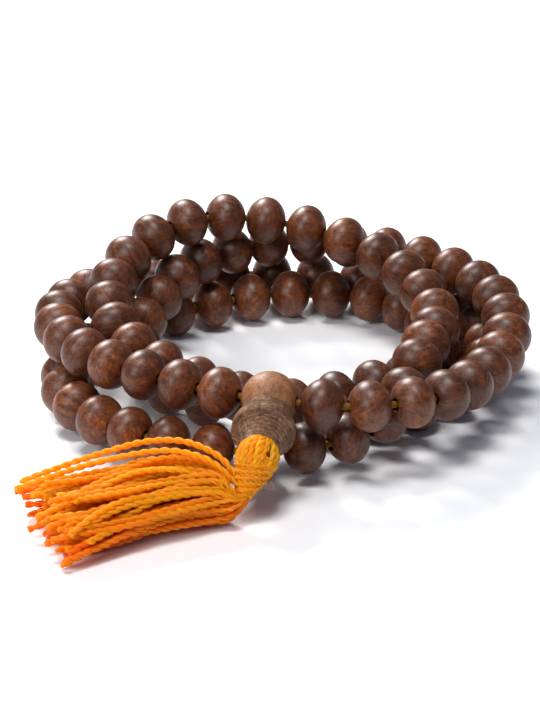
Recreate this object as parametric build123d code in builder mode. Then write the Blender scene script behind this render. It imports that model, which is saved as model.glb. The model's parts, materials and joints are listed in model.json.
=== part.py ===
"""Mala prayer beads: 108 oblate wooden beads on one cord, coiled four times round on a table.

The cord's two ends leave the coil through a larger guru bead, pass down a ridged tower bead and end in a knot
that carries a bound tassel. The frame is +Z up, with its origin on the table under the middle of the coil.
"""
from build123d import *
import math
import os

import numpy as np

os.makedirs("parts", exist_ok=True)

# ---------------------------------------------------------------- driving dimensions, millimetres and degrees
bead_count = 108
bead_diameter = 7.5          # across the bore
bead_length = 6.35           # along the bore
bead_shoulder_share = 0.84   # radius of a bead's shoulder, as a share of half its length
bore_play = 0.4              # loose room all round the cord in a bead
bore_chamfer = 0.15
cord_diameter = 1.0

bead_play = 0.28             # loose cord between neighbouring beads
first_bead_slack = 0.45      # extra loose cord between the first two beads
loose_slack = 0.50           # extra play from bead to bead along the loose stretch
loose_stretch = (79, 100)    # the loose stretch: its first bead and the one after its last
stack_gap = 0.12             # least gap between beads that lie beside or on each other
table_gap = 0.0
max_turn = 20.0              # sharpest bend of the strand from one bead to the next, as far as it can be kept

guru_diameter = 8.2
guru_play = 0.3
exit_lean = 7.5              # the third hole's turn from square to the strand, towards the first bead
exit_dip = 14.6              # and its dip below the horizontal

tower_gap = 0.15             # between the guru bead and the tower bead's hollow seat
tower_start = 3.7            # lengths along the tower bead count from the guru bead's centre
tower_ridges = ((3.7, 4.9), (3.95, 6.0), (4.55, 7.9))   # radius and end of each turned ridge
tower_groove_depth = 0.35
tower_groove_width = 0.30
tower_cone_radius = 4.2      # where the cone leaves the widest ridge
tower_tip_radius = 2.1
tower_tip = 11.6

tassel_cord_side = 0.55      # half the distance between the tassel cord's two legs
tassel_cord_play = 0.15      # loose room around them in the tower bead's bore
knot_diameter = 2.9
knot_drop = 1.0              # from the tower bead's tip to the knot's centre

neck_run = (-2.5, -3.9, -5.25)   # the binding's direction, down from the knot
neck_length = 6.4                # from the knot's centre to the binding's lower end
neck_radius = 2.3
neck_dome = 2.25                 # from the knot's centre to the middle of the binding's round top
neck_rounds = 7                  # turns of binding thread that show
neck_groove = 0.22
core_radius = 1.7
core_fit = 0.05
seat_gap = 0.12                  # between the knot and the binding's seat

thread_diameter = 1.0
skirt_gap = 0.25             # between the binding and the skirt

# The skirt's sections, outward from the binding's lower end: how far they lie to the left and front, their
# height above the table, and half their width and height.
skirt_sections = [
    (0.9, -0.9, 2.2, 1.1, 1.2),
    (-1.9, -0.1, 3.2, 2.8, 2.9),
    (-4.3, 1.3, 4.3, 3.9, 4.1),
    (-10.8, 0.5, 4.6, 6.2, 4.4),
    (-18.8, -1.8, 3.9, 8.5, 3.7),
    (-27.3, -4.8, 3.2, 10.0, 3.0),
]
skirt_heading = (-0.96, -0.28, 0.0)

# Stray threads that lie on top of the skirt: left and front of the binding's lower end, height above the table.
stray_routes = {
    "stray_thread_high": [
        (-1.6, 2.3, 8.3), (-4.4, 3.5, 9.9), (-8.5, 5.2, 10.8), (-14.0, 6.0, 10.2), (-20.0, 5.6, 8.4),
        (-26.0, 5.4, 6.4), (-31.2, 4.4, 4.6),
    ],
    "stray_thread_middle": [
        (-2.2, 0.5, 8.0), (-5.4, 1.4, 9.9), (-10.5, 2.4, 10.6), (-17.0, 2.0, 9.6), (-24.5, 0.8, 8.0),
        (-31.4, -0.8, 5.9),
    ],
}

# The strand's route, counter-clockwise from the guru bead at the front: distance from the middle and height of
# the beads' centres every 30 degrees, one row for each turn. It is scaled to the cord's length further down.
route_step = 30.0
route_start = -93.0
route = [
    # outer turn, which climbs over the front and slips inside at the back
    (33.5, 13.0), (38.0, 12.5), (35.0, 10.5), (34.5, 11.0), (34.5, 12.0), (33.5, 12.5),
    (33.0, 12.5), (28.0, 12.0), (23.0, 10.0), (21.5, 7.5), (21.0, 4.5), (17.0, 4.0),
    # innermost turn, on the table, widening to the front left
    (15.5, 4.0), (17.0, 5.0), (19.5, 5.0), (24.0, 4.0), (28.5, 4.0), (30.0, 4.5),
    (29.0, 4.5), (27.0, 4.5), (29.5, 4.0), (32.0, 4.5), (35.0, 5.0), (36.0, 5.5),
    # top turn, high at the back
    (34.0, 5.0), (32.5, 7.0), (24.5, 11.5), (24.0, 12.0), (24.0, 13.5), (25.5, 15.5),
    (27.0, 18.0), (27.5, 20.0), (28.0, 17.0), (26.5, 14.0), (25.0, 12.0), (23.0, 9.5),
    # last turn, on the table below the others, which comes up at the left to the guru bead
    (22.5, 7.0), (24.0, 4.5), (26.0, 4.0), (30.0, 4.5), (35.0, 4.0), (38.5, 4.0),
    (36.5, 5.0), (34.5, 6.5), (35.0, 9.0), (34.5, 11.0), (32.5, 12.5), (31.0, 13.0),
]

# Beads with a node of their own, and the stretches of the strand whose beads share one.
single_beads = list(range(1, 15)) + list(range(58, 78)) + list(range(99, 109))
bead_groups = {
    "back_turn_beads": range(15, 25),
    "inner_turn_beads": range(25, 47),
    "table_turn_beads": range(47, 58),
    "under_turn_beads": range(78, 99),
}

# ---------------------------------------------------------------- worked out from them
bead_radius = bead_diameter / 2
guru_radius = guru_diameter / 2
cord_radius = cord_diameter / 2
bead_pitch = bead_length + bead_play
turns = len(route) * route_step / 360.0

# Each link of the strand holds one bead, and the last one holds the guru bead.
links = np.full(bead_count + 1, bead_pitch)
links[0] += first_bead_slack / 2
links[1] += first_bead_slack / 2
links[loose_stretch[0] - 1:loose_stretch[1] - 1] += loose_slack
links[-1] = guru_diameter + guru_play
ball_radius = np.full(bead_count + 1, bead_radius)
ball_radius[-1] = guru_radius


def smooth_route():
    """Points close together along the closed route, scaled sideways until it is as long as the strand."""
    corners = []
    for index, (reach, height) in enumerate(route):
        angle = math.radians(route_start + index * route_step)
        corners.append((reach * math.cos(angle), reach * math.sin(angle), height * bead_diameter / 8.0))
    corners = np.array(corners)
    before, after, beyond = (np.roll(corners, shift, axis=0) for shift in (1, -1, -2))
    pieces = []
    for share in np.linspace(0.0, 1.0, 24, endpoint=False):
        weights = (
            -share / 2 + share ** 2 - share ** 3 / 2,
            1 - 2.5 * share ** 2 + 1.5 * share ** 3,
            share / 2 + 2 * share ** 2 - 1.5 * share ** 3,
            (share ** 3 - share ** 2) / 2,
        )
        pieces.append(sum(w * c for w, c in zip(weights, (before, corners, after, beyond))))
    points = np.stack(pieces, axis=1).reshape(-1, 3)
    length = np.linalg.norm(np.roll(points, -1, axis=0) - points, axis=1).sum()
    points[:, :2] *= links.sum() / length
    return points


def walk(points):
    """The ends of the links, laid out along the route in step with their lengths."""
    steps = np.linalg.norm(np.roll(points, -1, axis=0) - points, axis=1)
    along = np.concatenate([[0.0], np.cumsum(steps)])
    closed = np.vstack([points, points[:1]])
    start = links[-1] / 2
    stops = (start + np.concatenate([[0.0], np.cumsum(links)[:-1]])) / links.sum() * along[-1]
    return np.stack([np.interp(stops % along[-1], along, closed[:, k]) for k in range(3)], axis=1)


def settle(ends):
    """Nudge the strand until its links keep their lengths and its beads rest on each other and on the table."""
    laid = ends.copy()
    count = len(ends)
    first, second = np.triu_indices(count, 2)
    apart = (second - first) < count - 1
    first, second = first[apart], second[apart]
    reach = ball_radius[first] + ball_radius[second] + stack_gap
    least_span = (links + np.roll(links, -1)) * math.cos(math.radians(max_turn / 2))
    rounds = 1500
    for turn in range(rounds):
        pull = max(0.0, 0.03 * (1 - 1.5 * turn / rounds))
        ends = ends + pull * (laid - ends)

        run = np.roll(ends, -1, axis=0) - ends
        length = np.linalg.norm(run, axis=1)
        push = ((length - links) / length * 0.45)[:, None] * run
        ends = ends + push - np.roll(push, 1, axis=0)

        span = np.roll(ends, -2, axis=0) - ends
        length = np.linalg.norm(span, axis=1)
        push = (np.minimum(0.0, length - least_span) / length * 0.3)[:, None] * span
        ends = ends + push - np.roll(push, 2, axis=0)

        middle = (ends + np.roll(ends, -1, axis=0)) / 2
        between = middle[second] - middle[first]
        length = np.linalg.norm(between, axis=1)
        near = length < reach
        push = ((length - reach)[near] / length[near] * 0.4)[:, None] * between[near]
        move = np.zeros_like(middle)
        np.add.at(move, first[near], push)
        np.add.at(move, second[near], -push)
        move[:, 2] += np.maximum(0.0, ball_radius + table_gap - middle[:, 2] - move[:, 2])
        ends = ends + move / 1.5
        ends[1:] += move[:-1] / 1.5
        ends[0] += move[-1] / 1.5
        middle = (ends + np.roll(ends, -1, axis=0)) / 2
        low = np.maximum(0.0, ball_radius - middle[:, 2])
        ends[:, 2] += low / 2
        ends[:, 2] += np.roll(low, 1) / 2
    return ends


def unit(vector):
    vector = np.asarray(vector, dtype=float)
    return vector / np.linalg.norm(vector)


def place(point):
    """A point of the coil's own layout, moved so that the frame's origin lies under its middle."""
    return tuple(float(x) for x in np.asarray(point) - shift)


def bead_reach(direction, axis):
    """How far a bead's surface reaches from its centre in a direction."""
    lean = abs(float(np.dot(direction, axis)))
    side = math.sqrt(max(0.0, 1.0 - lean ** 2))
    if lean * (bead_radius - shoulder) > side * (cap - bead_length / 2):
        return (bead_length / 2 - cap) * lean + cap
    return (bead_radius - shoulder) * side + shoulder


link_ends = settle(walk(smooth_route()))
next_ends = np.roll(link_ends, -1, axis=0)
centres = (link_ends + next_ends) / 2
axes = [unit(run) for run in next_ends - link_ends]

# Bead n is on link n - 1, and the guru bead is on the last link.
half_length = bead_length / 2
shoulder = bead_shoulder_share * half_length
cap = ((bead_radius - shoulder) ** 2 + half_length ** 2 - shoulder ** 2) / (2 * (half_length - shoulder))
bore_radius = cord_radius + bore_play

guru = centres[-1]
strand_way = axes[-1]
level = unit([strand_way[1], -strand_way[0], 0.0])
lean, dip = math.radians(exit_lean), math.radians(exit_dip)
flat_exit = math.cos(lean) * level + math.sin(lean) * unit([-level[1], level[0], 0.0])
exit_way = unit([flat_exit[0] * math.cos(dip), flat_exit[1] * math.cos(dip), -math.sin(dip)])
across = unit(np.cross(exit_way, strand_way))
tip = guru + tower_tip * exit_way
knot_centre = tip + knot_drop * exit_way
neck_way = unit(neck_run)
neck_end = knot_centre + neck_length * neck_way

# The middle of the beads, the guru bead and the tower bead, on the table.
low, high = np.full(3, 1e9), np.full(3, -1e9)
for index in range(bead_count):
    reach = np.array([bead_reach(way, axes[index]) for way in np.eye(3)])
    low = np.minimum(low, centres[index] - reach)
    high = np.maximum(high, centres[index] + reach)
tip_reach = tower_tip_radius * np.sqrt(1.0 - exit_way ** 2)
low = np.minimum(low, tip - tip_reach)
high = np.maximum(high, tip + tip_reach)
shift = np.array([(low[0] + high[0]) / 2, (low[1] + high[1]) / 2, 0.0])


def lathe_plane(origin, axis):
    """A plane through an axis: its x leads away from the axis and its y along it."""
    away = unit(np.cross(axis, [0.0, 0.0, 1.0]))
    return Plane(origin=place(origin), x_dir=tuple(away), z_dir=tuple(np.cross(away, axis)))


def save(part, name):
    part.label = name
    export_step(part, "parts/" + name + ".step")


# ---------------------------------------------------------------- one bead, with its bore along Z
lip = bore_radius + bore_chamfer
lip_height = half_length - cap + math.sqrt(cap ** 2 - lip ** 2)
meet_way = unit([bead_radius - shoulder, cap - half_length])
meet = (cap * meet_way[0], half_length - cap + cap * meet_way[1])
crown_way = unit(unit([lip, lip_height - half_length + cap]) + meet_way)
crown = (cap * crown_way[0], half_length - cap + cap * crown_way[1])

with BuildPart() as bead:
    with BuildSketch(Plane.XZ):
        with BuildLine():
            Line((bore_radius, bore_chamfer - lip_height), (bore_radius, lip_height - bore_chamfer))
            Line((bore_radius, lip_height - bore_chamfer), (lip, lip_height))
            ThreePointArc((lip, lip_height), crown, meet)
            ThreePointArc(meet, (bead_radius, 0.0), (meet[0], -meet[1]))
            ThreePointArc((meet[0], -meet[1]), (crown[0], -crown[1]), (lip, -lip_height))
            Line((lip, -lip_height), (bore_radius, bore_chamfer - lip_height))
        make_face()
    revolve(axis=Axis.Z)


def bead_plane(number):
    return Plane(origin=place(centres[number - 1]), z_dir=tuple(axes[number - 1]))


for number in single_beads:
    with BuildPart() as single:
        with Locations(bead_plane(number)):
            add(bead.part)
    save(single.part, "bead_%03d" % number)

for name, numbers in bead_groups.items():
    with BuildPart() as group:
        for number in numbers:
            with Locations(bead_plane(number)):
                add(bead.part)
    save(group.part, name)

# ---------------------------------------------------------------- guru bead: a ball with three holes
exit_radius = 3 * cord_radius + 0.15
guru_lip = math.sqrt(guru_radius ** 2 - (bore_radius + bore_chamfer) ** 2)
with BuildPart() as guru_bead:
    with BuildSketch(lathe_plane(guru, strand_way)):
        with BuildLine():
            Line((bore_radius, bore_chamfer - guru_lip), (bore_radius, guru_lip - bore_chamfer))
            Line((bore_radius, guru_lip - bore_chamfer), (bore_radius + bore_chamfer, guru_lip))
            rim = bore_radius + bore_chamfer
            ThreePointArc((rim, guru_lip), (guru_radius, 0.0), (rim, -guru_lip))
            Line((bore_radius + bore_chamfer, -guru_lip), (bore_radius, bore_chamfer - guru_lip))
        make_face()
    revolve(axis=Axis(place(guru), tuple(strand_way)))
    with BuildSketch(lathe_plane(guru, exit_way)):
        with BuildLine():
            Line((0.0, -exit_radius), (0.0, guru_radius + 1.0))
            Line((0.0, guru_radius + 1.0), (exit_radius, guru_radius + 1.0))
            Line((exit_radius, guru_radius + 1.0), (exit_radius, 0.0))
            RadiusArc((exit_radius, 0.0), (0.0, -exit_radius), exit_radius)
        make_face()
    revolve(axis=Axis(place(guru), tuple(exit_way)), mode=Mode.SUBTRACT)
save(guru_bead.part, "guru_bead")

# ---------------------------------------------------------------- tower bead: turned ridges and a cone
tower_bore = tassel_cord_side + cord_radius + tassel_cord_play
seat = guru_radius + tower_gap
rim = math.sqrt(seat ** 2 - tower_start ** 2)
floor = math.sqrt(seat ** 2 - tower_bore ** 2)
outline = [(rim, tower_start)]
near = tower_start
for radius, end in tower_ridges:
    crest = tower_groove_width * 0.8
    outline += [(radius - crest / 2, near), (radius, near + crest / 2)]
    outline += [(radius, end - crest / 2), (radius - crest / 2, end)]
    near = end + tower_groove_width
    if (radius, end) != tower_ridges[-1]:
        outline += [(radius - tower_groove_depth, end), (radius - tower_groove_depth, near)]
outline += [(tower_cone_radius, tower_ridges[-1][1] + 0.05), (tower_tip_radius + 0.15, tower_tip - 0.2)]
outline += [(tower_tip_radius - 0.05, tower_tip), (tower_bore, tower_tip), (tower_bore, floor)]
seat_middle = unit([rim + tower_bore, tower_start + floor]) * seat
with BuildPart() as tower_bead:
    with BuildSketch(lathe_plane(guru, exit_way)):
        with BuildLine():
            Polyline(*outline)
            ThreePointArc(outline[-1], tuple(seat_middle), outline[0])
        make_face()
    revolve(axis=Axis(place(guru), tuple(exit_way)))
save(tower_bead.part, "tower_bead")


# ---------------------------------------------------------------- cords
def bend_radii(points, limit):
    """A radius for each corner of a run of cord, so that the bends leave a straight piece between them."""
    points = [np.asarray(point) for point in points]
    radii = []
    for index in range(1, len(points) - 1):
        before = points[index] - points[index - 1]
        after = points[index + 1] - points[index]
        half = math.acos(max(-1.0, min(1.0, float(np.dot(unit(before), unit(after)))))) / 2
        shorter = min(np.linalg.norm(before), np.linalg.norm(after))
        radii.append(min(limit, 0.45 * shorter / math.tan(half)))
    return radii


# The stringing cord starts and ends in the middle of the guru bead, where its ends are joined.
strand_corners = [place(guru + 0.02 * strand_way)]
strand_corners += [place(point) for point in link_ends]
strand_corners += [place(guru - 0.02 * strand_way)]
strand_radii = bend_radii(strand_corners, 1e9)
with BuildPart() as stringing_cord:
    with BuildLine() as strand_line:
        FilletPolyline(*strand_corners, radius=strand_radii)
    with BuildSketch(Plane(origin=strand_line.line @ 0, z_dir=strand_line.line % 0)):
        Circle(cord_radius)
    sweep(path=strand_line.line)
save(stringing_cord.part, "stringing_cord")


def pendant(along, aside):
    """A point beside the tower bead's axis, counted from the guru bead's centre."""
    return place(guru + along * exit_way + aside * across)


around = cord_diameter + 0.05
leg = tassel_cord_side
tassel_corners = [
    pendant(tower_tip + knot_drop - 0.1, -leg),
    pendant(around + 2.2, -leg),
    pendant(around + 0.3, -around),
    pendant(-around, -around),
    pendant(-around, around),
    pendant(around + 0.3, around),
    pendant(around + 2.2, leg),
    pendant(tower_tip + knot_drop - 0.1, leg),
]
with BuildPart() as tassel_cord:
    with BuildLine() as tassel_line:
        FilletPolyline(*tassel_corners, radius=bend_radii(tassel_corners, 4.0))
    with BuildSketch(Plane(origin=tassel_line.line @ 0, z_dir=tassel_line.line % 0)):
        Circle(cord_radius)
    sweep(path=tassel_line.line)
save(tassel_cord.part, "tassel_cord")

# ---------------------------------------------------------------- knot under the tower bead
knot_radius = knot_diameter / 2
with BuildPart() as knot:
    with Locations(place(knot_centre)):
        Sphere(knot_radius)
    for side in (-leg, leg):
        with BuildSketch(Plane(origin=pendant(tower_tip + knot_drop, side), z_dir=tuple(-exit_way))):
            Circle(cord_radius + 0.02)
        extrude(amount=knot_diameter, mode=Mode.SUBTRACT)
save(knot.part, "tassel_knot")

# ---------------------------------------------------------------- tassel: core, binding, skirt, stray threads
core_top = knot_radius + seat_gap + 0.3
with BuildPart() as core:
    with BuildSketch(Plane(origin=place(knot_centre + core_top * neck_way), z_dir=tuple(neck_way))):
        Circle(core_radius)
    extrude(amount=neck_length - core_top)
save(core.part, "tassel_core")

round_length = (neck_length - neck_dome) / neck_rounds
binding_inside = core_radius + core_fit
with BuildPart() as binding:
    with BuildSketch(lathe_plane(knot_centre, neck_way)):
        with BuildLine():
            Line((0.0, neck_length), (0.0, neck_dome - neck_radius))
            RadiusArc((0.0, neck_dome - neck_radius), (neck_radius, neck_dome), -neck_radius)
            for turn in range(neck_rounds):
                begin = neck_dome + turn * round_length
                ThreePointArc(
                    (neck_radius, begin),
                    (neck_radius + neck_groove, begin + round_length / 2),
                    (neck_radius, begin + round_length),
                )
            Line((neck_radius, neck_length), (0.0, neck_length))
        make_face()
    revolve(axis=Axis(place(knot_centre), tuple(neck_way)))
    with Locations(place(knot_centre)):
        Sphere(knot_radius + seat_gap, mode=Mode.SUBTRACT)
    core_start = place(knot_centre + (core_top - core_fit) * neck_way)
    with BuildSketch(Plane(origin=core_start, z_dir=tuple(neck_way))):
        Circle(binding_inside)
    extrude(amount=neck_length, mode=Mode.SUBTRACT)
save(binding.part, "tassel_binding")

skirt_start = neck_end + skirt_gap * neck_way
skirt_side = unit([skirt_heading[1], -skirt_heading[0], 0.0])
with BuildPart() as skirt:
    for left, front, height, half_width, half_height in skirt_sections:
        middle = (neck_end[0] + left, neck_end[1] + front, height)
        with BuildSketch(Plane(origin=place(middle), x_dir=tuple(skirt_side), z_dir=skirt_heading)):
            Ellipse(half_width, half_height)
    loft(ruled=True)
    with BuildSketch(Plane(origin=place(skirt_start), z_dir=tuple(-neck_way))):
        Circle(neck_radius + neck_groove + skirt_gap)
    extrude(amount=neck_length, mode=Mode.SUBTRACT)
save(skirt.part, "tassel_skirt")

for name, steps in stray_routes.items():
    points = [place((neck_end[0] + left, neck_end[1] + front, height)) for left, front, height in steps]
    with BuildPart() as stray:
        with BuildLine() as stray_line:
            FilletPolyline(*points, radius=bend_radii(points, 1e9))
        with BuildSketch(Plane(origin=stray_line.line @ 0, z_dir=stray_line.line % 0)):
            Circle(thread_diameter / 2)
        sweep(path=stray_line.line)
    save(stray.part, name)
    length = stray_line.wires()[0].length
    share = stray.part.volume / (math.pi * thread_diameter ** 2 / 4 * length)
    print(name, "length", round(length, 2), "volume share", round(share, 4))

# ---------------------------------------------------------------- what the record states
for label, cord, line in (
    ("stringing_cord", stringing_cord, strand_line),
    ("tassel_cord", tassel_cord, tassel_line),
):
    length = line.wires()[0].length
    share = cord.part.volume / (math.pi * cord_radius ** 2 * length)
    print(label, "length", round(length, 2), "volume share", round(share, 4))
print("bend radii from", round(min(strand_radii), 2), "to", round(max(strand_radii), 2))
print("shift", np.round(shift, 3), "box", np.round(low - shift, 3), np.round(high - shift, 3))
for number in single_beads:
    spot = np.round(place(centres[number - 1]), 4).tolist()
    print("BEAD", number, spot, np.round(axes[number - 1], 5).tolist())
print("GURU", np.round(place(guru), 4).tolist(), np.round(strand_way, 5).tolist())
print("TOWER", np.round(place(tip), 4).tolist(), np.round(exit_way, 5).tolist())
print("KNOT", np.round(place(knot_centre), 4).tolist(), np.round(neck_way, 5).tolist())
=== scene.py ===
import bpy
import json
import math
import numpy as np
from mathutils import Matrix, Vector


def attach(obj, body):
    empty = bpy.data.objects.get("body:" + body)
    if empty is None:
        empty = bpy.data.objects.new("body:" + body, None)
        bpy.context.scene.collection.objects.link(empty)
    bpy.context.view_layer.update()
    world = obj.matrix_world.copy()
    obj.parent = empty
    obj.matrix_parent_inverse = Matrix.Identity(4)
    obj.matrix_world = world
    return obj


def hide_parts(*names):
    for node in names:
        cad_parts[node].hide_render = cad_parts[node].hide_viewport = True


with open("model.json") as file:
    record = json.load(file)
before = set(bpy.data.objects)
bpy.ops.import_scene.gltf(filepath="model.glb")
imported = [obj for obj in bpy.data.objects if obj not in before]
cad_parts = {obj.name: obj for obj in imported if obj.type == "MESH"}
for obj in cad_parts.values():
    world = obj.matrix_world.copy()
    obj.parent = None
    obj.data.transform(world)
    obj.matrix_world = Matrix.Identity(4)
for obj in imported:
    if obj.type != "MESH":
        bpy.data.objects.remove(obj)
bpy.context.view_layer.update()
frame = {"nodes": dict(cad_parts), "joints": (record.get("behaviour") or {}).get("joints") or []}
chance = np.random.default_rng(11)
scene = bpy.context.scene
joints = {joint["name"]: joint for joint in frame["joints"]}
nodes = frame["nodes"]

MM = 0.001
FULL_TURN = 2 * math.pi
UP = np.array([0.0, 0.0, 1.0])


def unit(vector):
    vector = np.asarray(vector, float)
    return vector / np.linalg.norm(vector)


# ---------------------------------------------------------------- places
GURU = np.array(joints["guru_swing"]["pos_m"])
EXIT = unit(joints["tower_spin"]["axis"])
KNOT = np.array(joints["tassel_swing"]["pos_m"])
NECK = unit((-2.5, -3.9, -5.25))
NECK_LENGTH = 6.4 * MM
NECK_END = KNOT + NECK_LENGTH * NECK
HEADING = unit((-0.96, -0.28, 0.0))
SIDE = np.array([HEADING[1], -HEADING[0], 0.0])
NECK_SIDE = unit(SIDE - np.dot(SIDE, NECK) * NECK)
NECK_UP = -np.cross(NECK, NECK_SIDE)

# ---------------------------------------------------------------- camera
AIM = Vector((-0.0018, 0.0021, 0.0048))
ELEVATION = math.radians(22.6)
DISTANCE = 0.490
camera_data = bpy.data.cameras.new("camera")
camera_data.lens = 160.3
camera_data.sensor_width = 36.0
camera_data.clip_start = 0.01
camera = bpy.data.objects.new("camera", camera_data)
camera.location = AIM + Vector((0.0, -math.cos(ELEVATION), math.sin(ELEVATION))) * DISTANCE
camera.rotation_euler = (math.pi / 2 - ELEVATION, 0.0, 0.0)
scene.collection.objects.link(camera)
scene.camera = camera
scene.view_settings.view_transform = "Standard"


# ---------------------------------------------------------------- node helpers
class Paint:
    """A short way to write a node material."""

    def __init__(self, name):
        self.material = bpy.data.materials.new(name)
        self.material.use_nodes = True
        self.tree = self.material.node_tree
        self.bsdf = self.tree.nodes["Principled BSDF"]
        self.output = self.tree.nodes["Material Output"]

    def put(self, node, socket, value):
        """Set a socket, named or numbered, to a constant or link it to another node's output."""
        target = node.inputs[socket]
        if isinstance(value, bpy.types.NodeSocket):
            self.tree.links.new(value, target)
        else:
            target.default_value = value

    def node(self, kind, **values):
        made = self.tree.nodes.new(kind)
        for key, value in values.items():
            self.put(made, key.replace("_", " "), value)
        return made

    def attribute(self, name, output):
        made = self.node("ShaderNodeAttribute")
        made.attribute_name = name
        return made.outputs[output]

    def math(self, operation, a, b):
        made = self.node("ShaderNodeMath")
        made.operation = operation
        self.put(made, 0, a)
        self.put(made, 1, b)
        return made.outputs[0]

    def weigh(self, *parts):
        """The sum of the outputs, each times its weight."""
        total = None
        for value, weight in parts:
            share = self.math("MULTIPLY", value, weight)
            total = share if total is None else self.math("ADD", total, share)
        return total

    def noise(self, vector, scale, detail, roughness, distortion=0.0):
        made = self.node("ShaderNodeTexNoise", Scale=scale, Detail=detail, Roughness=roughness)
        self.put(made, "Distortion", distortion)
        self.put(made, "Vector", vector)
        return made.outputs[0]

    def along_grain(self, vector, stretch):
        """The vector drawn out along the grain, which is its third axis."""
        made = self.node("ShaderNodeMapping")
        made.inputs["Scale"].default_value = (1.0, 1.0, stretch)
        self.put(made, "Vector", vector)
        return made.outputs[0]

    def ramp(self, factor, *stops):
        made = self.node("ShaderNodeValToRGB")
        while len(made.color_ramp.elements) < len(stops):
            made.color_ramp.elements.new(0.5)
        for element, (place, colour) in zip(made.color_ramp.elements, stops):
            element.position = place
            element.color = (*colour, 1.0)
        self.put(made, "Fac", factor)
        return made.outputs[0]

    def mix(self, kind, factor, a, b):
        made = self.node("ShaderNodeMix")
        made.data_type = "RGBA"
        made.blend_type = kind
        self.put(made, 0, factor)
        self.put(made, 6, a)
        self.put(made, 7, b)
        return made.outputs[2]

    def bump(self, height, strength, distance):
        made = self.node("ShaderNodeBump", Strength=strength, Distance=distance)
        self.put(made, "Height", height)
        self.tree.links.new(made.outputs[0], self.bsdf.inputs["Normal"])

    def finish(self, **values):
        for key, value in values.items():
            self.put(self.bsdf, key.replace("_", " "), value)
        return self.material


BLACK = (0.0, 0.0, 0.0)
WHITE = (1.0, 1.0, 1.0)


# ---------------------------------------------------------------- wood
def bead_wood():
    """Red-brown wood, mottled along its grain, with fine dark pores and a tone for each bead."""
    p = Paint("bead_wood")
    local = p.attribute("grain", "Vector")
    tone = p.attribute("tone", "Fac")
    fibre = p.noise(p.along_grain(local, 0.22), 1500.0, 5.0, 0.62, 0.4)
    bands = p.noise(p.along_grain(local, 0.10), 420.0, 3.0, 0.5, 1.2)
    pores = p.noise(p.along_grain(local, 0.35), 4200.0, 2.0, 0.6)
    cloud = p.noise(local, 190.0, 2.0, 0.5)
    colour = p.ramp(
        p.weigh((fibre, 0.56), (bands, 0.24), (cloud, 0.20)),
        (0.32, (0.032, 0.008, 0.003)),
        (0.45, (0.082, 0.023, 0.007)),
        (0.55, (0.146, 0.043, 0.013)),
        (0.69, (0.300, 0.098, 0.027)),
    )
    speck = p.ramp(pores, (0.38, (0.25, 0.20, 0.18)), (0.47, WHITE))
    colour = p.mix("MULTIPLY", 0.75, colour, speck)
    shade = p.ramp(tone, (0.0, (0.72, 0.66, 0.64)), (0.5, (1.0, 0.94, 0.90)), (1.0, (1.28, 1.20, 1.10)))
    colour = p.mix("MULTIPLY", 1.0, colour, shade)
    rough = p.math("ADD", p.math("MULTIPLY", fibre, 0.20), 0.31)
    p.bump(p.math("ADD", p.math("MULTIPLY", pores, 0.7), fibre), 0.18, 0.08 * MM)
    p.finish(Base_Color=colour, Roughness=rough, Specular_IOR_Level=0.42)
    return p.finish(Coat_Weight=0.05, Coat_Roughness=0.40)


def guru_wood():
    """Paler, duller wood of the larger bead."""
    p = Paint("guru_wood")
    local = p.attribute("grain", "Vector")
    fibre = p.noise(p.along_grain(local, 0.18), 900.0, 5.0, 0.6, 0.6)
    pores = p.noise(p.along_grain(local, 0.30), 3600.0, 2.0, 0.6)
    colour = p.ramp(
        fibre,
        (0.30, (0.165, 0.060, 0.022)),
        (0.50, (0.280, 0.116, 0.044)),
        (0.70, (0.410, 0.190, 0.080)),
    )
    speck = p.ramp(pores, (0.36, (0.45, 0.38, 0.34)), (0.46, WHITE))
    colour = p.mix("MULTIPLY", 0.7, colour, speck)
    p.bump(pores, 0.2, 0.06 * MM)
    return p.finish(Base_Color=colour, Roughness=0.52, Specular_IOR_Level=0.4)


def tower_wood():
    """Rough-turned wood with lines round its axis and grey patches near its tip."""
    p = Paint("tower_wood")
    local = p.attribute("grain", "Vector")
    axial = p.attribute("axial", "Fac")
    rings = p.node("ShaderNodeTexWave", Scale=620.0, Distortion=5.0, Detail=3.0, Detail_Scale=1.6)
    rings.wave_type = "BANDS"
    rings.bands_direction = "Z"
    p.put(rings, "Detail Roughness", 0.6)
    p.put(rings, "Vector", local)
    turned = rings.outputs["Fac"]
    fibre = p.noise(local, 1400.0, 5.0, 0.65, 0.8)
    cloud = p.noise(local, 330.0, 3.0, 0.6)
    colour = p.ramp(
        p.weigh((turned, 0.09), (fibre, 0.52), (cloud, 0.39)),
        (0.32, (0.036, 0.014, 0.007)),
        (0.45, (0.100, 0.045, 0.022)),
        (0.58, (0.205, 0.106, 0.058)),
        (0.74, (0.400, 0.260, 0.165)),
    )
    # Grey patches are mixed into the colour near the tip.
    grey = p.ramp(p.noise(local, 520.0, 4.0, 0.7), (0.56, BLACK), (0.68, WHITE))
    near_tip = p.ramp(axial, (0.62, BLACK), (0.90, (0.75, 0.75, 0.75)))
    grey_near_tip = p.mix("MULTIPLY", 1.0, grey, near_tip)
    colour = p.mix("MIX", grey_near_tip, colour, (0.38, 0.34, 0.31, 1.0))
    p.bump(p.math("ADD", p.math("MULTIPLY", turned, 0.25), fibre), 0.50, 0.14 * MM)
    return p.finish(Base_Color=colour, Roughness=0.78, Specular_IOR_Level=0.25)


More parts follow.
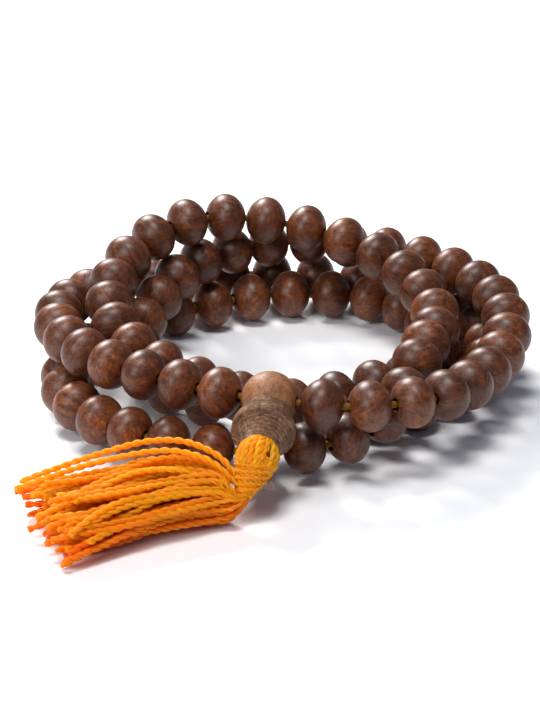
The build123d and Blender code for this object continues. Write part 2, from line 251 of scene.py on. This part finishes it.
def thread_paint(name, light):
    """Orange thread that lets light through; its tone runs from deep orange to yellow."""
    p = Paint(name)
    tone = p.attribute("tone", "Fac")
    fine = p.noise(p.attribute("grain", "Vector"), 2600.0, 3.0, 0.6)
    colour = p.ramp(
        p.weigh((tone, 0.75), (fine, 0.25)),
        (0.10, (light, 0.230 * light, 0.000)),
        (0.40, (light, 0.370 * light, 0.000)),
        (0.70, (light, 0.500 * light, 0.002)),
        (0.95, (light, 0.700 * light, 0.006)),
    )
    p.bump(fine, 0.25, 0.10 * MM)
    p.finish(Base_Color=colour, Roughness=0.55, Specular_IOR_Level=0.35)
    p.finish(Sheen_Weight=0.25, Sheen_Roughness=0.4, Sheen_Tint=(1.0, 0.75, 0.2, 1.0))
    glow = p.node("ShaderNodeBsdfTranslucent", Color=colour)
    both = p.node("ShaderNodeMixShader", Fac=0.50)
    p.put(both, 1, p.bsdf.outputs[0])
    p.put(both, 2, glow.outputs[0])
    p.put(p.output, "Surface", both.outputs[0])
    return p.material


def fibre_paint():
    """Thin, partly clear fibre."""
    p = Paint("frayed_fibre")
    return p.finish(Base_Color=(0.62, 0.30, 0.08, 1.0), Roughness=0.7, Alpha=0.7)


def floor_paint():
    """The white table, a little blue."""
    p = Paint("floor")
    return p.finish(Base_Color=(0.93, 0.935, 0.95, 1.0), Roughness=0.55, Specular_IOR_Level=0.25)


THREAD = thread_paint("tassel_thread", 1.0)
# The stringing cord is the tassel's thread painted darker, at 0.32 of its brightness: painted shade for the
# gaps between the beads.
CORD = thread_paint("cord_thread", 0.32)


# ---------------------------------------------------------------- painting the CAD pieces
def vertices(mesh):
    """The places of the mesh's vertices, one row for each."""
    places = np.empty(len(mesh.vertices) * 3)
    mesh.vertices.foreach_get("co", places)
    return places.reshape(-1, 3)


def set_values(mesh, name, values):
    """Store one number or one vector for each vertex, for the materials to read."""
    if values.ndim == 1:
        made = mesh.attributes.get(name) or mesh.attributes.new(name, "FLOAT", "POINT")
        made.data.foreach_set("value", values.astype(np.float32))
    else:
        made = mesh.attributes.get(name) or mesh.attributes.new(name, "FLOAT_VECTOR", "POINT")
        made.data.foreach_set("vector", values.astype(np.float32).ravel())


def set_material(mesh, material):
    mesh.materials.clear()
    mesh.materials.append(material)


def islands(mesh, places):
    """One number for all the vertices of each bead, found by passing the lowest number along the edges."""
    same_place = 0.002 * MM
    edges = np.empty(len(mesh.edges) * 2, dtype=np.int64)
    mesh.edges.foreach_get("vertices", edges)
    edges = edges.reshape(-1, 2)
    rounded = np.round(places / same_place).astype(np.int64)
    keys = np.unique(rounded, axis=0, return_inverse=True)[1].ravel()
    first = keys[edges[:, 0]]
    second = keys[edges[:, 1]]
    label = np.arange(keys.max() + 1)
    settled = False
    while not settled:
        before = label.copy()
        low = np.minimum(label[first], label[second])
        np.minimum.at(label, first, low)
        np.minimum.at(label, second, low)
        label = label[label]
        settled = (label == before).all()
    return np.unique(label[keys], return_inverse=True)[1].ravel()


def random_turn():
    """A rotation matrix with every direction equally likely."""
    w, x, y, z = unit(chance.normal(size=4))
    return np.array([
        [1 - 2 * (y * y + z * z), 2 * (x * y - z * w), 2 * (x * z + y * w)],
        [2 * (x * y + z * w), 1 - 2 * (x * x + z * z), 2 * (y * z - x * w)],
        [2 * (x * z - y * w), 2 * (y * z + x * w), 1 - 2 * (x * x + y * y)],
    ])


def paint_beads(obj, material):
    """Each bead gets its own piece of the wood, turned its own way, and its own tone."""
    places = vertices(obj.data)
    number = islands(obj.data, places)
    grain = np.zeros_like(places)
    tone = np.zeros(len(places))
    for bead in range(number.max() + 1):
        mine = number == bead
        centre = (places[mine].min(0) + places[mine].max(0)) / 2
        grain[mine] = (places[mine] - centre) @ random_turn().T + chance.uniform(-0.5, 0.5, 3)
        tone[mine] = chance.uniform(0.0, 1.0)
    set_values(obj.data, "grain", grain)
    set_values(obj.data, "tone", tone)
    set_material(obj.data, material)


def paint_tower(obj, material):
    """Grain measured from the guru bead's centre along and across EXIT; axial runs from 0 to 1 along it."""
    side = unit(np.cross(EXIT, UP))
    from_guru = vertices(obj.data) - GURU
    local = np.stack([from_guru @ side, from_guru @ np.cross(EXIT, side), from_guru @ EXIT], axis=1)
    axial = local[:, 2]
    set_values(obj.data, "grain", local)
    set_values(obj.data, "axial", (axial - axial.min()) / (axial.max() - axial.min()))
    set_material(obj.data, material)


def paint_cord(obj, material):
    """One tone all over."""
    places = vertices(obj.data)
    set_values(obj.data, "grain", places)
    set_values(obj.data, "tone", np.full(len(places), 0.75))
    set_material(obj.data, material)


bead_material = bead_wood()
for name, obj in sorted(nodes.items()):
    if name.startswith("bead_") or name.endswith("_beads"):
        paint_beads(obj, bead_material)
paint_beads(nodes["guru_bead"], guru_wood())
paint_tower(nodes["tower_bead"], tower_wood())
paint_cord(nodes["stringing_cord"], CORD)
for name in ("tassel_cord", "tassel_knot", "tassel_core"):
    paint_cord(nodes[name], THREAD)


# ---------------------------------------------------------------- lines and plies
def spline_points(controls):
    """Points close together on the smooth line that has these as its control points."""
    curve = bpy.data.curves.new("route", "CURVE")
    curve.dimensions = "3D"
    curve.resolution_u = 16
    line = curve.splines.new("NURBS")
    line.points.add(len(controls) - 1)
    for point, place in zip(line.points, controls):
        point.co = (*place, 1.0)
    line.order_u = 3
    line.use_endpoint_u = True
    holder = bpy.data.objects.new("route", curve)
    scene.collection.objects.link(holder)
    bpy.context.view_layer.update()
    evaluated = holder.evaluated_get(bpy.context.evaluated_depsgraph_get())
    mesh = bpy.data.meshes.new_from_object(evaluated)
    points = vertices(mesh)
    bpy.data.objects.remove(holder)
    bpy.data.curves.remove(curve)
    bpy.data.meshes.remove(mesh)
    return points


def evenly(points, step):
    """The same line with its points a step apart, and its length."""
    steps = np.linalg.norm(np.diff(points, axis=0), axis=1)
    along = np.concatenate([[0.0], np.cumsum(steps)])
    count = max(4, int(along[-1] / step))
    stops = np.linspace(0.0, along[-1], count + 1)
    even = [np.interp(stops, along, points[:, axis]) for axis in range(3)]
    return np.stack(even, axis=1), along[-1]


def carried_sides(points):
    """Two directions square to the line at each point, carried along it without twist."""
    tangent = np.gradient(points, axis=0)
    tangent /= np.linalg.norm(tangent, axis=1)[:, None]
    side = np.zeros_like(points)
    first = np.cross(tangent[0], UP)
    if np.linalg.norm(first) < 1e-3:
        first = np.cross(tangent[0], [1.0, 0.0, 0.0])
    side[0] = unit(first)
    for index in range(1, len(points)):
        before = side[index - 1]
        side[index] = unit(before - np.dot(before, tangent[index]) * tangent[index])
    return side, np.cross(tangent, side)


PLY_STEP = 0.26 * MM
PLY_SIDES = 6
# Shares of a thread's size: a ply's distance from the thread's middle, its radius, and the least height of
# its own middle.
PLY_OFFSET = 0.200
PLY_RADIUS = 0.300
PLY_LOWEST = 0.30
EVEN_THICKNESS = ((0.0, 1.0), (1.0, 1.0))


class Bundle:
    """Plies gathered into one mesh."""

    def __init__(self):
        self.places = []
        self.faces = []
        self.tones = []
        self.count = 0

    def tube(self, points, radius, sides, tone):
        """One round ply along the points, with closed ends."""
        side, third = carried_sides(points)
        radius = np.broadcast_to(radius, len(points))
        angle = (np.arange(sides) * FULL_TURN / sides)[None, :, None]
        ring = side[:, None] * np.cos(angle) + third[:, None] * np.sin(angle)
        made = (points[:, None] + ring * radius[:, None, None]).reshape(-1, 3)
        row = np.arange(len(points) - 1)[:, None] * sides
        corner = np.arange(sides)[None]
        after = (corner + 1) % sides
        quads = [row + corner, row + after, row + sides + after, row + sides + corner]
        self.faces += (np.stack(quads, axis=-1).reshape(-1, 4) + self.count).tolist()
        self.faces.append([self.count + k for k in reversed(range(sides))])
        self.count += len(made)
        self.faces.append([self.count - sides + k for k in range(sides)])
        self.places.append(made)
        self.tones.append(np.full(len(made), tone))

    def thread(self, points, size, lay, tone, swell=EVEN_THICKNESS, start=0.0):
        """Two plies twisted round each other. swell has shares of the length, and the thickness at each."""
        points, length = evenly(points, PLY_STEP)
        side, third = carried_sides(points)
        along = np.linspace(0.0, length, len(points))
        thick = size * np.interp(along / length, *swell)
        for half in (0, 1):
            turn = start + FULL_TURN * along / lay + half * math.pi
            offset = side * np.cos(turn)[:, None] + third * np.sin(turn)[:, None]
            ply = points + offset * (PLY_OFFSET * thick)[:, None]
            ply[:, 2] = np.maximum(ply[:, 2], PLY_LOWEST * size)
            self.tube(ply, PLY_RADIUS * thick, PLY_SIDES, tone)

    def build(self, name, material, *replaced):
        """Make the piece, which rides on the tassel and stands for the replaced nodes."""
        places = np.concatenate(self.places)
        mesh = bpy.data.meshes.new(name)
        mesh.from_pydata(places.tolist(), [], self.faces)
        mesh.polygons.foreach_set("use_smooth", [True] * len(mesh.polygons))
        mesh.materials.append(material)
        set_values(mesh, "tone", np.concatenate(self.tones))
        set_values(mesh, "grain", places)
        mesh.update()
        obj = bpy.data.objects.new(name, mesh)
        scene.collection.objects.link(obj)
        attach(obj, "tassel")
        if replaced:
            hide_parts(*replaced)
        return obj


THREAD_SIZE = 1.0 * MM
THREAD_LAY = 3.0 * MM

# ---------------------------------------------------------------- skirt
# Where the threads leave the neck, in mm: along its axis from its end, out from it, and towards the tail.
SKIRT_ROOT = (
    (-1.6, 0.75, 0.0),
    (-0.2, 0.85, 0.0),
    (0.6, 1.4, 0.5),
)
# The skirt's sections, in mm: right and back of the neck's end (minus is left and front), height above the
# table, half width and half height.
SKIRT_SECTIONS = (
    (-2.4, 0.5, 4.0, 3.0, 3.7),
    (-4.3, 1.3, 4.3, 3.9, 4.1),
    (-10.8, 0.5, 4.6, 6.2, 4.4),
    (-18.8, -1.8, 3.9, 8.5, 3.7),
    (-27.3, -4.8, 3.2, 10.0, 3.0),
)
# The threads' rings in a section: how many, their share of its half width, and how far they stray from it.
SKIRT_RINGS = ((44, 0.93, 0.04), (30, 0.72, 0.07), (18, 0.46, 0.09), (8, 0.18, 0.08))
SKIRT_SWELL = ((0.0, 0.10, 0.28, 1.0), (0.50, 0.55, 0.95, 1.05))
SKIRT_ANGLE_JITTER = 0.35
# The most that a thread may stop short of the last section; few threads come near it.
SHORT_MOST = 0.42
SHORT_POWER = 2.2
# The tone of a thread at the side, the painted light added at the top (taken off underneath as painted
# shade), and how far tones stray.
SKIRT_TONE = 0.35
SKIRT_TOP_PAINTED_LIGHT = 0.30
SKIRT_TONE_SPREAD = 0.16
LOWEST = 0.6 * MM
FIRST_JITTER = 0.30 * MM
JITTER_GROWTH = 1.35


def skirt_route(across, above, reach):
    """Control points of one thread. It ends at the share reach of the way to the last section."""
    root = across * NECK_SIDE + above * NECK_UP
    route = []
    for along, out, ahead in SKIRT_ROOT:
        route.append(NECK_END + along * MM * NECK + out * MM * root + ahead * MM * HEADING)
    jitter = FIRST_JITTER
    for section in SKIRT_SECTIONS:
        right, back, height, half_width, half_height = (size * MM for size in section)
        place = np.array([NECK_END[0] + right, NECK_END[1] + back, height])
        place = place + across * half_width * SIDE + above * half_height * UP
        if section is SKIRT_SECTIONS[-1]:
            place = route[-1] + (place - route[-1]) * reach
        place = place + chance.normal(size=3) * jitter
        place[2] = max(place[2], LOWEST)
        jitter *= JITTER_GROWTH
        route.append(place)
    return route


skirt = Bundle()
for count, share, spread in SKIRT_RINGS:
    for index in range(count):
        jitter = chance.uniform(-SKIRT_ANGLE_JITTER, SKIRT_ANGLE_JITTER)
        angle = FULL_TURN * (index + jitter) / count
        radius = share + chance.uniform(-spread, spread)
        reach = 1.0 - SHORT_MOST * chance.random() ** SHORT_POWER
        route = skirt_route(radius * math.cos(angle), radius * math.sin(angle), reach)
        # Threads on top are painted yellower and those underneath deeper orange: painted light above, painted
        # shade below.
        tone = SKIRT_TONE + SKIRT_TOP_PAINTED_LIGHT * math.sin(angle) + chance.normal() * SKIRT_TONE_SPREAD
        tone = min(1.0, max(0.0, tone))
        start = chance.uniform(0, 6)
        skirt.thread(spline_points(route), THREAD_SIZE, THREAD_LAY, tone, SKIRT_SWELL, start)
skirt.build("tassel_threads", THREAD, "tassel_skirt")

# ---------------------------------------------------------------- stray threads
# In mm: right and back of the neck's end (minus is left and front), and height above the table.
STRAY_ROUTES = {
    "stray_thread_high": (
        (-0.9, 1.6, 6.6), (-2.0, 2.4, 8.4), (-4.4, 3.5, 9.9), (-8.5, 5.2, 10.8), (-14.0, 6.0, 10.2),
        (-20.0, 5.6, 8.4), (-26.0, 5.4, 6.4), (-31.2, 4.4, 4.6),
    ),
    "stray_thread_middle": (
        (-0.9, 0.6, 6.0), (-2.4, 0.7, 8.0), (-5.4, 1.4, 9.9), (-10.5, 2.4, 10.6), (-17.0, 2.0, 9.6),
        (-24.5, 0.8, 8.0), (-31.4, -0.8, 5.9),
    ),
}

for name, steps in STRAY_ROUTES.items():
    route = []
    for right, back, height in steps:
        route.append((NECK_END[0] + right * MM, NECK_END[1] + back * MM, height * MM))
    line = spline_points(route)
    stray = Bundle()
    stray.thread(line, THREAD_SIZE, THREAD_LAY, 0.75)
    made = stray.build("loose_" + name, THREAD, name)

# ---------------------------------------------------------------- neck
# Distance from the knot along the neck, and radius, in mm.
NECK_PROFILE = (
    (-2.4, 0.9), (-1.9, 1.75), (-1.2, 2.35), (-0.3, 2.70), (0.8, 2.78), (2.0, 2.60), (3.4, 2.15), (5.0, 1.55),
    (6.5, 1.05),
)
# The windings: rounds, way round, start and run along the neck, slant, its phase, lift, size and tone.
# The start, run, slant, lift and size are in mm.
WINDINGS = (
    (13, 1, 0.6, 6.0, 0.50, -0.9, -0.2, 0.74, 0.75),
    (5, -1, 1.0, 4.4, 0.90, 1.9, 0.0, 0.66, 0.55),
)
WINDING_LAY = 1.6 * MM
POINTS_A_ROUND = 30
HEAD_THREADS = 26
HEAD_START = -2.3 * MM
HEAD_END = 2.2 * MM
HEAD_THREAD_SIZE = 0.92 * MM
HEAD_THREAD_LAY = 2.6 * MM


def on_neck(along, angle, lift):
    """Points at a distance along the neck from the knot and an angle round it, lifted off its profile."""
    distances, radii = np.array(NECK_PROFILE).T * MM
    radius = np.interp(along, distances, radii) + lift
    outward = np.cos(angle)[:, None] * NECK_SIDE + np.sin(angle)[:, None] * NECK_UP
    return KNOT + along[:, None] * NECK + radius[:, None] * outward


neck = Bundle()
for rounds, way, first, run, slant, phase, lift, size, tone in WINDINGS:
    turns = np.linspace(0.0, rounds, rounds * POINTS_A_ROUND + 1)
    along = (first + run * turns / rounds + slant * np.cos(FULL_TURN * turns + phase)) * MM
    neck.thread(on_neck(along, way * FULL_TURN * turns, lift * MM), size * MM, WINDING_LAY, tone)
for index in range(HEAD_THREADS):
    first_angle = FULL_TURN * index / HEAD_THREADS + chance.uniform(-0.08, 0.08)
    along = np.linspace(HEAD_START, HEAD_END + chance.uniform(-0.4, 0.4) * MM, POINTS_A_ROUND)
    angle = first_angle + chance.uniform(-0.5, 0.5) * (along - HEAD_START) / (HEAD_END - HEAD_START)
    crown = np.sin(np.linspace(0, 3.1, POINTS_A_ROUND))
    lift = (-0.2 + 0.25 * crown * chance.uniform(0.2, 1.2)) * MM
    tone = chance.uniform(0.5, 0.95)
    start = chance.uniform(0, 6)
    neck.thread(on_neck(along, angle, lift), HEAD_THREAD_SIZE, HEAD_THREAD_LAY, tone, start=start)
neck.build("tassel_neck", THREAD, "tassel_binding", "tassel_core")

# ---------------------------------------------------------------- frayed fibres
# Distance from the knot along the neck in mm, how many fibres, and their reach in mm.
FRAYS = ((0.3, 14, 2.0), (2.4, 12, 2.2), (4.4, 10, 2.6))
FIBRE_STEPS = 5
# How much of its reach a fibre covers in each step.
FIBRE_STEP_SHARE = 0.22
FIBRE_LOWEST = 0.3 * MM
FIBRE_RADIUS = 0.035 * MM
FIBRE_SIDES = 4
FIBRE_TONE = 0.5

fray = Bundle()
for middle, count, reach in FRAYS:
    for index in range(count):
        angle = np.array([chance.uniform(0.0, FULL_TURN)])
        along = np.array([(middle + chance.normal() * 0.6) * MM])
        steps = [on_neck(along, angle, 0.0)[0]]
        outward = unit(steps[0] - KNOT - middle * MM * NECK)
        heading = unit(outward + chance.normal(size=3) * 0.5)
        for _ in range(FIBRE_STEPS):
            heading = unit(heading + chance.normal(size=3) * 0.65)
            place = steps[-1] + heading * reach * MM * FIBRE_STEP_SHARE
            place[2] = max(place[2], FIBRE_LOWEST)
            steps.append(place)
        fine, _ = evenly(spline_points(steps), 0.2 * MM)
        fray.tube(fine, FIBRE_RADIUS, FIBRE_SIDES, FIBRE_TONE)
fray.build("tassel_fray", fibre_paint())

# ---------------------------------------------------------------- floor and light
bpy.ops.mesh.primitive_plane_add(size=4.0, location=(0.0, 0.0, 0.0))
floor = bpy.context.object
floor.name = "floor"
floor.data.materials.append(floor_paint())

world = bpy.data.worlds.new("world")
world.use_nodes = True
world.node_tree.nodes["Background"].inputs["Color"].default_value = (0.70, 0.82, 1.0, 1.0)
world.node_tree.nodes["Background"].inputs["Strength"].default_value = 0.21
scene.world = world


def lamp(name, place, aim, size, power, colour):
    """A rectangular light at a place, turned to shine at aim."""
    data = bpy.data.lights.new(name, "AREA")
    data.shape = "RECTANGLE"
    data.size = size[0]
    data.size_y = size[1]
    data.energy = power
    data.color = colour
    obj = bpy.data.objects.new(name, data)
    obj.location = place
    obj.rotation_euler = (Vector(aim) - Vector(place)).to_track_quat("-Z", "Y").to_euler()
    scene.collection.objects.link(obj)


lamp("key", (-0.24, 0.50, 0.44), (0.0, 0.0, 0.0), (0.26, 0.22), 7.0, (1.0, 0.985, 0.97))
lamp("top", (-0.06, -0.16, 0.66), (0.0, 0.0, 0.0), (0.22, 0.16), 2.9, (1.0, 0.99, 0.98))
lamp("front", (-0.34, -0.42, 0.34), (-0.02, -0.05, 0.005), (0.26, 0.20), 1.7, (1.0, 0.99, 0.98))
